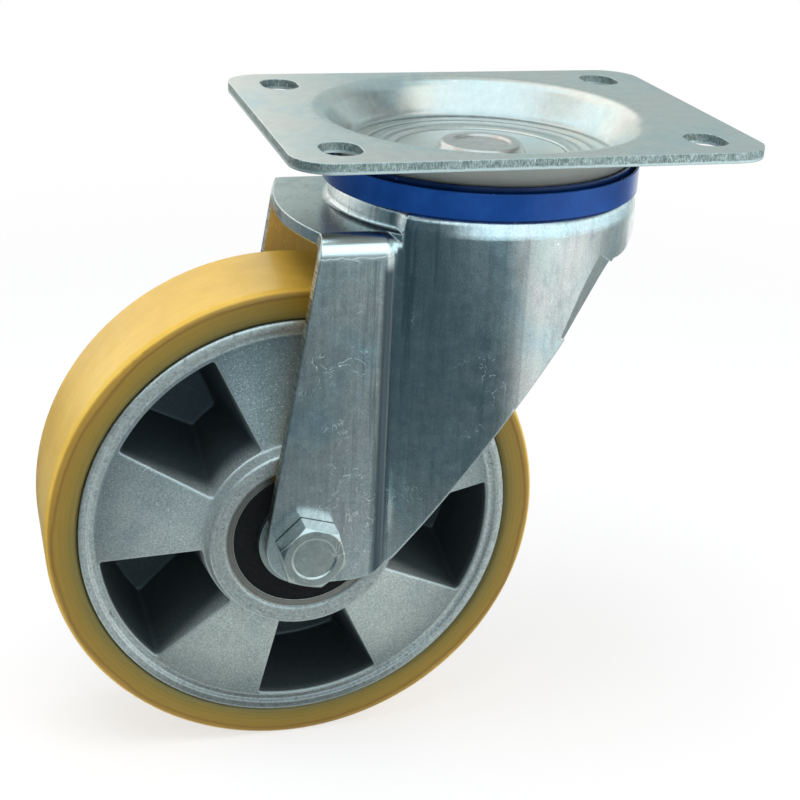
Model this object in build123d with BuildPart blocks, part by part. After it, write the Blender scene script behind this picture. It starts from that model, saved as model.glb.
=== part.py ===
from build123d import *
import os
from math import atan2, cos, degrees, radians, sin, sqrt, tan

# Swivel castor with a top plate. Millimetres, +Z up. The origin is the centre of
# the plate's upper face, on the swivel axis. The plate's long side and the trail
# lie along Y (the wheel trails towards -Y), and the axle lies along X.

# ---------------------------------------------------------------- driving sizes

# Top plate
plate_length = 180.0
plate_width = 145.0
plate_thickness = 4.0
plate_corner_radius = 15.0
bolt_spacing_length = 140.0
bolt_spacing_width = 105.0
bolt_slot_width = 15.0
bolt_slot_length = 20.0

# Dish pressed into the middle of the plate, down to the swivel head
dish_overlap = 0.2
dish_slope_run = 9.0
dish_depth = 14.5
dish_bend_radius = 6.0
dish_step_radius = 37.0
dish_step_width = 3.0
dish_step_depth = 1.0

# Swivel head: two rows of balls and the riveted kingpin
upper_ball_diameter = 10.0
upper_ball_inset = 6.5
upper_ball_count = 24
lower_ball_diameter = 8.0
lower_ball_ring_radius = 30.0
lower_ball_count = 18
race_groove_depth = 1.25
race_clearance = 0.05
kingpin_radius = 11.0
kingpin_head_radius = 16.3
kingpin_head_height = 3.5
kingpin_skirt_radius = 18.0
kingpin_recess_radius = 12.0
kingpin_recess_depth = 0.8
kingpin_foot_radius = 17.0
kingpin_foot_height = 4.4
sleeve_wall = 5.0
lower_race_margin = 7.0
lower_race_thickness = 5.0

# Fork, pressed from one sheet
fork_thickness = 5.0
head_radius = 62.3
head_rear_inset = 2.8
head_crown_height = 6.5
head_crown_inset = 1.3
head_shoulder_radius = 3.5
head_crease_radius = 8.0
head_hole_radius = 20.0
head_height = 9.0
head_step_setback = 2.0
head_step_radius = 8.0
head_foot_radius = 2.5
skirt_side_drop = 20.5
skirt_front_drop = 14.0
skirt_rise_start = 46.0
skirt_rise_end = 58.0
skirt_corner_radius = 12.0
shelf_bend_radius = 7.0
shelf_corner_reach = 73.2
shelf_bulge = 7.8
leg_gap = 80.0
leg_valley_reach = 45.5
leg_valley_inset = 1.0
leg_valley_radius = 2.5
leg_flat_start = 3.0
leg_flat_radius = 3.0
foot_rear_radius = 17.0
foot_front_radius = 20.0
foot_drop = 16.4
foot_rear_reach = 19.75
foot_front_reach = 28.8
notch_reach = 39.5
notch_radius = 4.0
slant_bow = 2.6
coined_top_reach = 32.0
coined_top_drop = 17.0
coined_end_reach = 16.0
coined_end_drop = 47.0
coined_width = 8.0
coined_depth = 1.3
slant_bottom_reach = 37.5
slant_bottom_drop = 0.3

# Blue dust seal between the plate and the fork
seal_overhang = 0.1
seal_height = 10.0
seal_wall = 1.1
seal_lip_gap = 0.4
seal_lip_wall = 1.2
seal_lip_rise = 1.8
seal_foot_width = 6.9
seal_floor = 1.5

# Wheel
trail = 76.0
wheel_headroom = 61.0
wheel_radius = 100.0
tread_width = 50.0
tread_shoulder_radius = 3.0
tyre_thickness = 12.8
rim_lip_width = 4.0
rim_lip_height = 1.0
web_rise = 8.0
hub_side_clearance = 2.5
hub_wall = 6.9
hub_draft = 1.6
hub_mouth_chamfer = 0.8
hub_shoulder = 7.0

# Lightening pockets, five from each side, staggered
pocket_count = 5
pocket_first_angle = 61.6
pocket_hub_margin = 0.4
pocket_lip_margin = 2.4
pocket_half_angle = 19.7
pocket_corner_radius = 1.2
pocket_inner_draft = 5.9
pocket_outer_draft = 4.5
pocket_side_draft = 9.0
pocket_floor_corner_radius = 2.0
pocket_floor_web = 8.0

# Ball bearings in the hub
bearing_bore_radius = 12.5
bearing_outer_radius = 31.0
bearing_width = 17.0
bearing_recess = 1.0
bearing_ball_diameter = 10.3
bearing_ball_count = 7
bearing_ball_clearance = 0.03
bearing_groove_depth = 1.1
bearing_seal_seat = 2.5
bearing_seal_thickness = 1.0
bearing_seal_recess = 0.3
bearing_seal_gap = 0.15
cage_wall = 2.2
cage_bridge = 0.7
cage_pocket_clearance = 0.15

# Axle set
axle_bolt_radius = 8.0
axle_tube_clearance = 0.2
leg_bore_clearance = 0.25
hex_across_flats = 24.0
hex_corner_angle = 44.0
bolt_head_height = 10.0
bolt_head_recess_radius = 8.6
bolt_head_recess_depth = 0.6
hex_chamfer_angle = 30.0
bolt_end_length = 3.0
bolt_end_chamfer = 1.2
axle_nut_height = 16.0
axle_nut_collar_height = 4.0
axle_nut_collar_radius = 11.0
axle_washer_radius = 15.0
axle_washer_thickness = 3.0
distance_washer_radius = 18.8
bearing_spacer_step = 1.2

# ------------------------------------------------------------ levels and places

dish_floor_level = -dish_depth
dish_centre_level = dish_floor_level - dish_step_depth
dish_underside_level = dish_floor_level - plate_thickness
dish_centre_underside_level = dish_centre_level - plate_thickness
dish_lip_radius = head_radius + dish_overlap
dish_floor_radius = dish_lip_radius - dish_slope_run
dish_slope_angle = atan2(dish_depth, dish_slope_run)

upper_ball_ring_radius = dish_floor_radius - upper_ball_inset
upper_ball_level = dish_underside_level + race_groove_depth - upper_ball_diameter / 2
head_level = upper_ball_level - upper_ball_diameter / 2 + race_groove_depth
head_underside_level = head_level - fork_thickness
lower_ball_level = head_underside_level + race_groove_depth - lower_ball_diameter / 2
lower_race_radius = lower_ball_ring_radius + lower_race_margin
lower_race_level = lower_ball_level - lower_ball_diameter / 2 + race_groove_depth
lower_race_underside_level = lower_race_level - lower_race_thickness
kingpin_foot_level = lower_race_underside_level - kingpin_foot_height

axle_drop = wheel_radius + wheel_headroom
axle_centre = (0, -trail, -axle_drop)
axle_axis = Axis(axle_centre, (1, 0, 0))
# Across the axle: local x is global Y, local y is global Z, and the normal is +X
axle_plane = Plane(origin=axle_centre, x_dir=(0, 1, 0), z_dir=(1, 0, 0))
# Through the axle, for turned profiles: local x is along the axle, local y is up
turning_plane = Plane(origin=axle_centre, x_dir=(1, 0, 0), z_dir=(0, -1, 0))

leg_inner = leg_gap / 2
leg_outer = leg_inner + fork_thickness
shelf_level = head_level - head_height
head_foot_level = shelf_level - shelf_bend_radius - fork_thickness
skirt_level = head_level - skirt_side_drop
foot_level = -axle_drop - foot_drop
slant_top = (notch_reach - notch_radius, skirt_level - notch_radius)
slant_bottom = (-trail + slant_bottom_reach, -axle_drop - slant_bottom_drop)

hub_half_length = leg_inner - hub_side_clearance
hub_radius = bearing_outer_radius + hub_wall
hub_root_radius = hub_radius + hub_draft
rim_radius = wheel_radius - tyre_thickness
rim_lip_inner_radius = rim_radius - rim_lip_width
web_half_width = tread_width / 2 - rim_lip_height
web_hub_half_width = web_half_width + web_rise
web_seat_radius = rim_lip_inner_radius - pocket_lip_margin

bearing_face = hub_half_length - bearing_recess
bearing_middle = bearing_face - bearing_width / 2
bearing_inner_face = bearing_face - bearing_width
bearing_pitch_radius = (bearing_bore_radius + bearing_outer_radius) / 2
bearing_land_offset = bearing_ball_diameter / 2 - bearing_groove_depth
bearing_inner_land_radius = bearing_pitch_radius - bearing_land_offset
bearing_outer_land_radius = bearing_pitch_radius + bearing_land_offset
bearing_seal_radius = bearing_outer_land_radius + bearing_seal_seat

os.makedirs("parts", exist_ok=True)

# -------------------------------------------------------------------- top plate

dish_bend_shift = plate_thickness / 2 * tan(dish_slope_angle / 2)
plate_mid_level = -plate_thickness / 2
dish_blend_radius = dish_lip_radius + dish_bend_radius + plate_thickness

with BuildPart() as top_plate:
    with BuildSketch(Plane.XY.offset(-plate_thickness)) as plate_outline:
        RectangleRounded(plate_width, plate_length, plate_corner_radius)
        Circle(dish_blend_radius, mode=Mode.SUBTRACT)
    extrude(amount=plate_thickness)
    # The dish keeps the sheet's thickness: its profile is one bent line, widened
    with BuildSketch(Plane.XZ) as dish_section:
        with BuildLine() as dish_middle_line:
            FilletPolyline(
                (kingpin_radius, dish_centre_level + plate_mid_level),
                (dish_step_radius - dish_step_width / 2, dish_centre_level + plate_mid_level),
                (dish_step_radius + dish_step_width / 2, dish_floor_level + plate_mid_level),
                (dish_floor_radius + dish_bend_shift, dish_floor_level + plate_mid_level),
                (dish_lip_radius + dish_bend_shift, plate_mid_level),
                (dish_blend_radius, plate_mid_level),
                radius=(dish_step_width, dish_step_width, dish_bend_radius, dish_bend_radius),
            )
        trace(line_width=plate_thickness)
    revolve(axis=Axis.Z)
    with BuildSketch() as bolt_slots:
        with GridLocations(bolt_spacing_width, bolt_spacing_length, 2, 2):
            SlotOverall(bolt_slot_length, bolt_slot_width)
    extrude(amount=-plate_thickness, mode=Mode.SUBTRACT)
    # Ball groove pressed into the dish's underside
    with BuildSketch(Plane.XZ) as upper_groove:
        with Locations((upper_ball_ring_radius, upper_ball_level)):
            Circle(upper_ball_diameter / 2 + race_clearance)
    revolve(axis=Axis.Z, mode=Mode.SUBTRACT)
top_plate.part.label = "top_plate"
export_step(top_plate.part, "parts/top_plate.step")

# ---------------------------------------------------------------------- kingpin

with BuildPart() as kingpin:
    with BuildSketch(Plane.XZ) as kingpin_section:
        with BuildLine():
            head_top = dish_centre_level + kingpin_head_height
            recess_floor = head_top - kingpin_recess_depth
            Polyline(
                (0, recess_floor),
                (kingpin_recess_radius - kingpin_recess_depth, recess_floor),
                (kingpin_recess_radius, head_top),
                (kingpin_head_radius - kingpin_recess_depth, head_top),
                (kingpin_head_radius, head_top - kingpin_recess_depth),
                (kingpin_skirt_radius, dish_centre_level),
                (kingpin_radius, dish_centre_level),
                (kingpin_radius, lower_race_underside_level),
                (kingpin_foot_radius, lower_race_underside_level),
                (kingpin_foot_radius - kingpin_foot_height / 2, kingpin_foot_level),
                (0, kingpin_foot_level),
                close=True,
            )
        make_face()
    revolve(axis=Axis.Z)
kingpin.part.label = "kingpin"
export_step(kingpin.part, "parts/kingpin.step")

# -------------------------------------------------------------- distance sleeve

with BuildPart() as distance_sleeve:
    with BuildSketch(Plane.XY.offset(lower_race_level)) as sleeve_ring:
        Circle(kingpin_radius + sleeve_wall)
        Circle(kingpin_radius, mode=Mode.SUBTRACT)
    extrude(amount=dish_centre_underside_level - lower_race_level)
distance_sleeve.part.label = "distance_sleeve"
export_step(distance_sleeve.part, "parts/distance_sleeve.step")

# -------------------------------------------------------------- the swivel balls

with BuildPart() as upper_race_balls:
    with Locations((0, 0, upper_ball_level)):
        with PolarLocations(upper_ball_ring_radius, upper_ball_count):
            Sphere(upper_ball_diameter / 2)
upper_race_balls.part.label = "upper_race_balls"
export_step(upper_race_balls.part, "parts/upper_race_balls.step")

with BuildPart() as lower_race_balls:
    with Locations((0, 0, lower_ball_level)):
        with PolarLocations(lower_ball_ring_radius, lower_ball_count):
            Sphere(lower_ball_diameter / 2)
lower_race_balls.part.label = "lower_race_balls"
export_step(lower_race_balls.part, "parts/lower_race_balls.step")

# ------------------------------------------------------------------- lower race

with BuildPart() as lower_race:
    with BuildSketch(Plane.XY.offset(lower_race_underside_level)) as race_ring:
        Circle(lower_race_radius)
        Circle(kingpin_radius, mode=Mode.SUBTRACT)
    extrude(amount=lower_race_thickness)
    with BuildSketch(Plane.XZ) as lower_groove:
        with Locations((lower_ball_ring_radius, lower_ball_level)):
            Circle(lower_ball_diameter / 2 + race_clearance)
    revolve(axis=Axis.Z, mode=Mode.SUBTRACT)
lower_race.part.label = "lower_race"
export_step(lower_race.part, "parts/lower_race.step")

# -------------------------------------------------------------------- dust seal

seal_radius = head_radius + seal_overhang
seal_foot_radius = seal_radius - seal_foot_width
seal_top = head_level + seal_height
lip_top = seal_top + seal_lip_rise
# The lip runs just outside the dish's slope, which stands further out with height
dish_radius_at_lip = (
    dish_floor_radius
    + plate_thickness / sin(dish_slope_angle)
    + (lip_top + dish_depth) / tan(dish_slope_angle)
)
seal_lip_radius = dish_radius_at_lip + seal_lip_gap

with BuildPart() as dust_seal:
    with BuildSketch(Plane.XZ) as seal_section:
        with BuildLine():
            Polyline(
                (seal_foot_radius, head_level),
                (seal_radius, head_level),
                (seal_radius, seal_top),
                (seal_radius - seal_wall, seal_top),
                (seal_radius - seal_wall, head_level + seal_floor),
                (seal_lip_radius + seal_lip_wall, head_level + seal_floor),
                (seal_lip_radius + seal_lip_wall, lip_top),
                (seal_lip_radius, lip_top),
                (seal_lip_radius, head_level + seal_floor),
                (seal_foot_radius, head_level + seal_floor),
                close=True,
            )
        make_face()
    revolve(axis=Axis.Z)
    seal_edges = dust_seal.edges().filter_by(GeomType.CIRCLE).group_by(Axis.Z)
    fillet(seal_edges[-1] + seal_edges[-2], radius=seal_wall / 3)
dust_seal.part.label = "dust_seal"
export_step(dust_seal.part, "parts/dust_seal.step")

# ------------------------------------------------------------------------- fork

# The legs' plan outline: a round front, side arcs that draw in to a shallow
# valley, and flat cheeks behind it
fork_back = -(trail + wheel_radius)
valley_x = leg_outer - leg_valley_inset
flat_start_y = -leg_valley_reach - leg_flat_start
side_arc_draw = head_radius - valley_x
side_arc_radius = (side_arc_draw**2 + leg_valley_reach**2) / (2 * side_arc_draw)

with BuildSketch() as fork_plan:
    with BuildLine() as right_half:
        Polyline(
            (0, fork_back),
            (leg_outer, fork_back),
            (leg_outer, flat_start_y),
            (valley_x, -leg_valley_reach),
        )
        RadiusArc((valley_x, -leg_valley_reach), (head_radius, 0), -side_arc_radius)
        CenterArc((0, 0), head_radius, 0, 90)
        Line((0, head_radius), (0, fork_back))
    make_face()
    for corner, radius in (
        ((valley_x, -leg_valley_reach, 0), leg_valley_radius),
        ((leg_outer, flat_start_y, 0), leg_flat_radius),
    ):
        fillet(fork_plan.vertices().sort_by_distance(corner)[0], radius=radius)
    mirror(about=Plane.YZ)

# The head's plan outline: the same in front, with a smaller round back that
# stands on the shelf. The step between the two lies just ahead of the valleys
step_y = -leg_valley_reach + head_step_setback
head_rear_radius = head_radius - head_rear_inset

with BuildSketch() as head_plan:
    add(fork_plan.sketch)
    with Locations((0, step_y)):
        Rectangle(3 * leg_outer, -2 * fork_back, align=(Align.CENTER, Align.MAX), mode=Mode.SUBTRACT)
    Circle(head_rear_radius)
    step_corners = head_plan.vertices().filter_by_position(Axis.Y, step_y - 0.01, step_y + 0.01)
    fillet(step_corners.sort_by(lambda corner: abs(corner.X))[:2], radius=head_step_radius)

with BuildSketch() as fork_inner_plan:
    add(fork_plan.sketch)
    offset(amount=-fork_thickness, kind=Kind.INTERSECTION)

with BuildSketch() as head_inner_plan:
    add(head_plan.sketch)
    offset(amount=-fork_thickness, kind=Kind.INTERSECTION)

# What the side view keeps of the sheet: the skirt in front, the long slanted
# front edge of the legs, the rounded foot and the leaning rear edge
with BuildPart() as fork_trim:
    with BuildSketch(Plane.YZ) as side_profile:
        with BuildLine():
            side_top = head_level + fork_thickness
            side_front = head_radius + fork_thickness
            skirt_front_level = head_level - skirt_front_drop
            rear_foot = (-trail - foot_rear_reach, foot_level)
            front_foot = (-trail + foot_front_reach, foot_level)
            Polyline(
                slant_bottom,
                front_foot,
                rear_foot,
                (-shelf_corner_reach, shelf_level),
                (-shelf_corner_reach, side_top),
                (side_front, side_top),
                (side_front, skirt_front_level),
                (skirt_rise_end, skirt_front_level),
                (skirt_rise_start, skirt_level),
                (notch_reach, skirt_level),
                slant_top,
            )
            SagittaArc(slant_top, slant_bottom, -slant_bow)
        make_face()
        for corner, radius in (
            (rear_foot, foot_rear_radius),
            (front_foot, foot_front_radius),
            ((skirt_rise_end, skirt_front_level), skirt_corner_radius),
            ((skirt_rise_start, skirt_level), skirt_corner_radius),
        ):
            fillet(side_profile.vertices().sort_by_distance((*corner, 0))[0], radius=radius)
    extrude(amount=side_front, both=True)
    # The shelf's rear edge bulges out between the legs
    with BuildSketch(Plane.XY.offset(shelf_level - fork_thickness)) as bulge_plan:
        with BuildLine():
            bulge_left = (shelf_bend_radius - leg_outer, -shelf_corner_reach)
            bulge_right = (leg_outer - shelf_bend_radius, -shelf_corner_reach)
            SagittaArc(bulge_left, bulge_right, -shelf_bulge)
            Line(bulge_right, bulge_left)
        make_face()
    extrude(amount=fork_thickness)

with BuildPart() as fork_inside:
    with BuildSketch(Plane.XY.offset(foot_level)):
        add(fork_inner_plan.sketch)
    extrude(amount=shelf_level - fork_thickness - foot_level)
    fillet(
        fork_inside.edges().group_by(Axis.Z)[-1].filter_by(lambda edge: edge.center().Y > fork_back + 10),
        radius=shelf_bend_radius - fork_thickness,
    )
    with BuildSketch(Plane.XY.offset(head_foot_level)):
        add(head_inner_plan.sketch)
    extrude(amount=head_underside_level - head_foot_level)

with BuildPart() as head_block:
    with BuildSketch(Plane.XY.offset(head_foot_level)):
        add(head_plan.sketch)
    extrude(amount=head_level - head_crown_height - head_foot_level)
    # The crown above the crease leans in to the top
    crown_taper = degrees(atan2(head_crown_inset, head_crown_height))
    extrude(head_block.faces().sort_by(Axis.Z)[-1], amount=head_crown_height, taper=crown_taper)
    crease_level = head_level - head_crown_height
    crease = head_block.edges().filter_by_position(Axis.Z, crease_level - 0.01, crease_level + 0.01)
    fillet(crease, radius=head_crease_radius)
    fillet(head_block.edges().group_by(Axis.Z)[-1], radius=head_shoulder_radius)

# A flat coined on the outside along the top of the slanted edge: it starts as
# wide as coined_width below the notch and fades out downwards
def on_skirt(reach, level, depth=0.0):
    """The skirt's point at this reach and level, so deep below its outer face."""
    outside = Vector(sqrt(head_radius**2 - reach**2), reach, level)
    return outside - Vector(outside.X, outside.Y, 0).normalized() * depth


coined_top = on_skirt(coined_top_reach, head_level - coined_top_drop)
coined_end = on_skirt(coined_end_reach, head_level - coined_end_drop)
coined_edge = on_skirt(coined_top_reach, head_level - coined_top_drop - coined_width, coined_depth)
coined_run = coined_end - coined_top
coined_plane = Plane(
    origin=coined_top,
    x_dir=coined_run,
    z_dir=coined_run.cross(coined_edge - coined_top),
)

with BuildPart() as coined_flat:
    with BuildSketch(coined_plane):
        Rectangle(coined_run.length, 4 * coined_width, align=(Align.MIN, Align.CENTER))
    extrude(amount=head_radius)

with BuildPart() as fork:
    with BuildSketch(Plane.XY.offset(foot_level)):
        add(fork_plan.sketch)
    extrude(amount=shelf_level - foot_level)
    fillet(
        fork.edges().group_by(Axis.Z)[-1].filter_by(lambda edge: edge.center().Y > fork_back + 10),
        radius=shelf_bend_radius,
    )
    add(head_block.part)
    # Where the head's back stands on the shelf, the sheet runs out in a small radius
    with BuildSketch(Plane.XZ) as head_foot_section:
        with Locations((head_rear_radius, shelf_level + head_foot_radius)):
            Rectangle(head_foot_radius, shelf_bend_radius, align=(Align.MIN, Align.MAX))
        with Locations((head_rear_radius + head_foot_radius, shelf_level + head_foot_radius)):
            Circle(head_foot_radius, mode=Mode.SUBTRACT)
    revolve(axis=Axis.Z)
    add(fork_inside.part, mode=Mode.SUBTRACT)
    add(fork_trim.part, mode=Mode.INTERSECT)
    add(coined_flat.part, mode=Mode.SUBTRACT)
    mirror(coined_flat.part, about=Plane.YZ, mode=Mode.SUBTRACT)
    with BuildSketch(Plane.XY.offset(head_level)) as head_hole:
        Circle(head_hole_radius)
    extrude(amount=-fork_thickness, mode=Mode.SUBTRACT)
    with BuildSketch(Plane.XZ) as head_grooves:
        with Locations((upper_ball_ring_radius, upper_ball_level)):
            Circle(upper_ball_diameter / 2 + race_clearance)
        with Locations((lower_ball_ring_radius, lower_ball_level)):
            Circle(lower_ball_diameter / 2 + race_clearance)
    revolve(axis=Axis.Z, mode=Mode.SUBTRACT)
    with BuildSketch(axle_plane) as leg_bores:
        Circle(axle_bolt_radius + leg_bore_clearance)
    extrude(amount=leg_outer, both=True, mode=Mode.SUBTRACT)
fork.part.label = "fork"
export_step(fork.part, "parts/fork.step")

# -------------------------------------------------------------------- axle bolt

def hexagon_blank(bottom, height):
    """A chamfered hexagon on the axle, from bottom outwards along the axle."""
    corner_radius = hex_across_flats / 2 / cos(radians(30))
    chamfer_drop = (corner_radius - hex_across_flats / 2) * tan(radians(hex_chamfer_angle))
    with BuildPart() as blank:
        with BuildSketch(axle_plane.offset(bottom)):
            RegularPolygon(corner_radius, 6, rotation=hex_corner_angle)
        extrude(amount=height)
        with BuildSketch(turning_plane) as cone_section:
            with BuildLine():
                Polyline(
                    (bottom, 0),
                    (bottom, corner_radius),
                    (bottom + height - chamfer_drop, corner_radius),
                    (bottom + height, hex_across_flats / 2),
                    (bottom + height, 0),
                    close=True,
                )
            make_face()
        revolve(axis=axle_axis, mode=Mode.INTERSECT)
    return blank.part


bolt_end_face = -(leg_outer + axle_washer_thickness + axle_nut_height + bolt_end_length)

bolt_blank = hexagon_blank(leg_outer, bolt_head_height)

with BuildPart() as axle_bolt:
    add(bolt_blank)
    with BuildSketch(axle_plane.offset(leg_outer + bolt_head_height)) as head_recess:
        Circle(bolt_head_recess_radius)
    extrude(amount=-bolt_head_recess_depth, mode=Mode.SUBTRACT)
    with BuildSketch(axle_plane.offset(bolt_end_face)) as shank_section:
        Circle(axle_bolt_radius)
    extrude(amount=leg_outer - bolt_end_face)
    chamfer(axle_bolt.edges().group_by(Axis.X)[0], length=bolt_end_chamfer)
axle_bolt.part.label = "axle_bolt"
export_step(axle_bolt.part, "parts/axle_bolt.step")

# --------------------------------------------------------------- washer and nut

washer_face = -leg_outer - axle_washer_thickness

with BuildPart() as axle_washer:
    with BuildSketch(axle_plane.offset(washer_face)) as washer_ring:
        Circle(axle_washer_radius)
        Circle(axle_bolt_radius + leg_bore_clearance, mode=Mode.SUBTRACT)
    extrude(amount=axle_washer_thickness)
axle_washer.part.label = "axle_washer"
export_step(axle_washer.part, "parts/axle_washer.step")

nut_blank = hexagon_blank(-washer_face, axle_nut_height - axle_nut_collar_height)

with BuildPart() as axle_nut:
    # The blank is turned end for end, so that its chamfer faces outwards
    mirror(nut_blank, about=Plane.YZ)
    with BuildSketch(axle_plane.offset(washer_face - axle_nut_height)) as collar_section:
        Circle(axle_nut_collar_radius)
    extrude(amount=axle_nut_collar_height)
    with BuildSketch(axle_plane.offset(washer_face)) as nut_bore:
        Circle(axle_bolt_radius)
    extrude(amount=-axle_nut_height, mode=Mode.SUBTRACT)
axle_nut.part.label = "axle_nut"
export_step(axle_nut.part, "parts/axle_nut.step")

# ------------------------------------------------- axle tube and distance pieces

with BuildPart() as axle_tube:
    with BuildSketch(axle_plane.offset(-leg_inner)) as tube_section:
        Circle(bearing_bore_radius)
        Circle(axle_bolt_radius + axle_tube_clearance, mode=Mode.SUBTRACT)
    extrude(amount=leg_gap)
axle_tube.part.label = "axle_tube"
export_step(axle_tube.part, "parts/axle_tube.step")

with BuildPart() as bearing_spacer:
    with BuildSketch(axle_plane.offset(-bearing_inner_face)) as spacer_section:
        Circle(bearing_inner_land_radius - bearing_spacer_step)
        Circle(bearing_bore_radius, mode=Mode.SUBTRACT)
    extrude(amount=2 * bearing_inner_face)
bearing_spacer.part.label = "bearing_spacer"
export_step(bearing_spacer.part, "parts/bearing_spacer.step")

with BuildPart() as distance_washer:
    with BuildSketch(axle_plane.offset(bearing_face)) as distance_washer_ring:
        Circle(distance_washer_radius)
        Circle(bearing_bore_radius, mode=Mode.SUBTRACT)
    extrude(amount=leg_inner - bearing_face)

# ---------------------------------------------------------------- ball bearings

with BuildPart() as ball_grooves:
    with BuildSketch(turning_plane) as groove_section:
        with Locations((bearing_middle, bearing_pitch_radius)):
            Circle(bearing_ball_diameter / 2 + bearing_ball_clearance)
    revolve(axis=axle_axis)

with BuildPart() as inner_ring:
    with BuildSketch(axle_plane.offset(bearing_inner_face)) as inner_ring_section:
        Circle(bearing_inner_land_radius)
        Circle(bearing_bore_radius, mode=Mode.SUBTRACT)
    extrude(amount=bearing_width)
    add(ball_grooves.part, mode=Mode.SUBTRACT)

seal_seat_depth = bearing_seal_recess + bearing_seal_thickness

with BuildPart() as outer_ring:
    with BuildSketch(axle_plane.offset(bearing_inner_face)) as outer_ring_section:
        Circle(bearing_outer_radius)
        Circle(bearing_outer_land_radius, mode=Mode.SUBTRACT)
    extrude(amount=bearing_width)
    for seat_face, direction in ((bearing_face, -1), (bearing_inner_face, 1)):
        with BuildSketch(axle_plane.offset(seat_face)):
            Circle(bearing_seal_radius)
        extrude(amount=direction * seal_seat_depth, mode=Mode.SUBTRACT)
    add(ball_grooves.part, mode=Mode.SUBTRACT)

with BuildPart() as bearing_seal:
    with BuildSketch(axle_plane.offset(bearing_face - seal_seat_depth)) as bearing_seal_ring:
        Circle(bearing_seal_radius)
        Circle(bearing_inner_land_radius + bearing_seal_gap, mode=Mode.SUBTRACT)
    extrude(amount=bearing_seal_thickness)

with BuildPart(axle_plane.offset(bearing_middle)) as bearing_balls:
    with PolarLocations(bearing_pitch_radius, bearing_ball_count):
        Sphere(bearing_ball_diameter / 2)

with BuildPart(axle_plane.offset(bearing_middle)) as bearing_cage:
    cage_half_width = bearing_ball_diameter / 2 + cage_pocket_clearance + cage_bridge
    with BuildSketch(axle_plane.offset(bearing_middle - cage_half_width)) as cage_ring:
        Circle(bearing_pitch_radius + cage_wall / 2)
        Circle(bearing_pitch_radius - cage_wall / 2, mode=Mode.SUBTRACT)
    extrude(amount=2 * cage_half_width)
    with PolarLocations(bearing_pitch_radius, bearing_ball_count):
        Cylinder(
            bearing_ball_diameter / 2 + cage_pocket_clearance,
            4 * cage_wall,
            rotation=(0, 90, 0),
            mode=Mode.SUBTRACT,
        )

# Both ends of the hub carry the same set: the right one is modelled, the left one
# is its mirror image
for piece_name, right_piece in (
    ("distance_washer", distance_washer),
    ("bearing_inner_ring", inner_ring),
    ("bearing_outer_ring", outer_ring),
    ("bearing_seal", bearing_seal),
    ("bearing_balls", bearing_balls),
    ("bearing_cage", bearing_cage),
):
    right_piece.part.label = f"{piece_name}_right"
    export_step(right_piece.part, f"parts/{piece_name}_right.step")
    with BuildPart() as left_piece:
        mirror(right_piece.part, about=Plane.YZ)
    left_piece.part.label = f"{piece_name}_left"
    export_step(left_piece.part, f"parts/{piece_name}_left.step")

# ---------------------------------------------------------------- wheel: the rim

def pocket_outline(level, inner_radius, outer_radius, side_draft, corner_radius):
    """A ring sector about the wheel's axis, along local x, its sides drawn in by side_draft."""
    # Each side lies side_draft inside its radius, and is measured from that radius
    inner_corner, outer_corner = (
        Vector(sqrt(radius**2 - side_draft**2), -side_draft).rotate(Axis.Z, pocket_half_angle)
        for radius in (inner_radius, outer_radius)
    )
    with BuildSketch(Plane.XY.offset(level)) as outline:
        with BuildLine():
            Line((inner_corner.X, -inner_corner.Y), (outer_corner.X, -outer_corner.Y))
            ThreePointArc((outer_corner.X, -outer_corner.Y), (outer_radius, 0), outer_corner)
            Line(outer_corner, inner_corner)
            ThreePointArc(inner_corner, (inner_radius, 0), (inner_corner.X, -inner_corner.Y))
        make_face()
        fillet(outline.vertices(), radius=corner_radius)
    return outline.sketch


# A pocket in the wheel's own plane, z along the axle, opening at +z. It starts
# where the web meets the hub, and its walls draw in towards the floor
pocket_inner_radius = hub_root_radius + pocket_hub_margin
pocket_mouth = pocket_outline(
    web_hub_half_width, pocket_inner_radius, web_seat_radius, 0, pocket_corner_radius
)
pocket_floor = pocket_outline(
    pocket_floor_web - web_half_width,
    pocket_inner_radius + pocket_inner_draft,
    web_seat_radius - pocket_outer_draft,
    pocket_side_draft,
    pocket_floor_corner_radius,
)
with BuildPart() as pocket:
    loft(sections=[pocket_mouth, pocket_floor], ruled=True)

opposite_pocket = mirror(pocket.part, about=Plane.XY, mode=Mode.PRIVATE)

with BuildPart(axle_plane) as rim:
    with BuildSketch(turning_plane) as rim_section:
        with BuildLine():
            rim_half_width = tread_width / 2
            half_profile = [
                (bearing_inner_face, bearing_outer_radius - hub_shoulder),
                (bearing_inner_face, bearing_outer_radius),
                (hub_half_length - hub_mouth_chamfer, bearing_outer_radius),
                (hub_half_length, bearing_outer_radius + hub_mouth_chamfer),
                (hub_half_length, hub_radius),
                (web_hub_half_width, hub_root_radius),
                (web_half_width, web_seat_radius),
                (web_half_width, rim_lip_inner_radius),
                (rim_half_width, rim_lip_inner_radius + rim_lip_height),
                (rim_half_width, rim_radius),
            ]
            Polyline(
                *half_profile,
                *[(-along, radius) for along, radius in reversed(half_profile)],
                close=True,
            )
        make_face()
    revolve(axis=axle_axis)
    with PolarLocations(0, pocket_count, start_angle=pocket_first_angle):
        add(pocket.part, mode=Mode.SUBTRACT)
    with PolarLocations(0, pocket_count, start_angle=pocket_first_angle + 180 / pocket_count):
        add(opposite_pocket, mode=Mode.SUBTRACT)
rim.part.label = "rim"
export_step(rim.part, "parts/rim.step")

# ------------------------------------------------------------------------- tyre

with BuildPart() as tyre:
    with BuildSketch(turning_plane) as tyre_section:
        with Locations((0, (rim_radius + wheel_radius) / 2)):
            Rectangle(tread_width, wheel_radius - rim_radius)
        fillet(tyre_section.vertices().group_by(Axis.Z)[-1], radius=tread_shoulder_radius)
    revolve(axis=axle_axis)
tyre.part.label = "tyre"
export_step(tyre.part, "parts/tyre.step")
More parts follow.
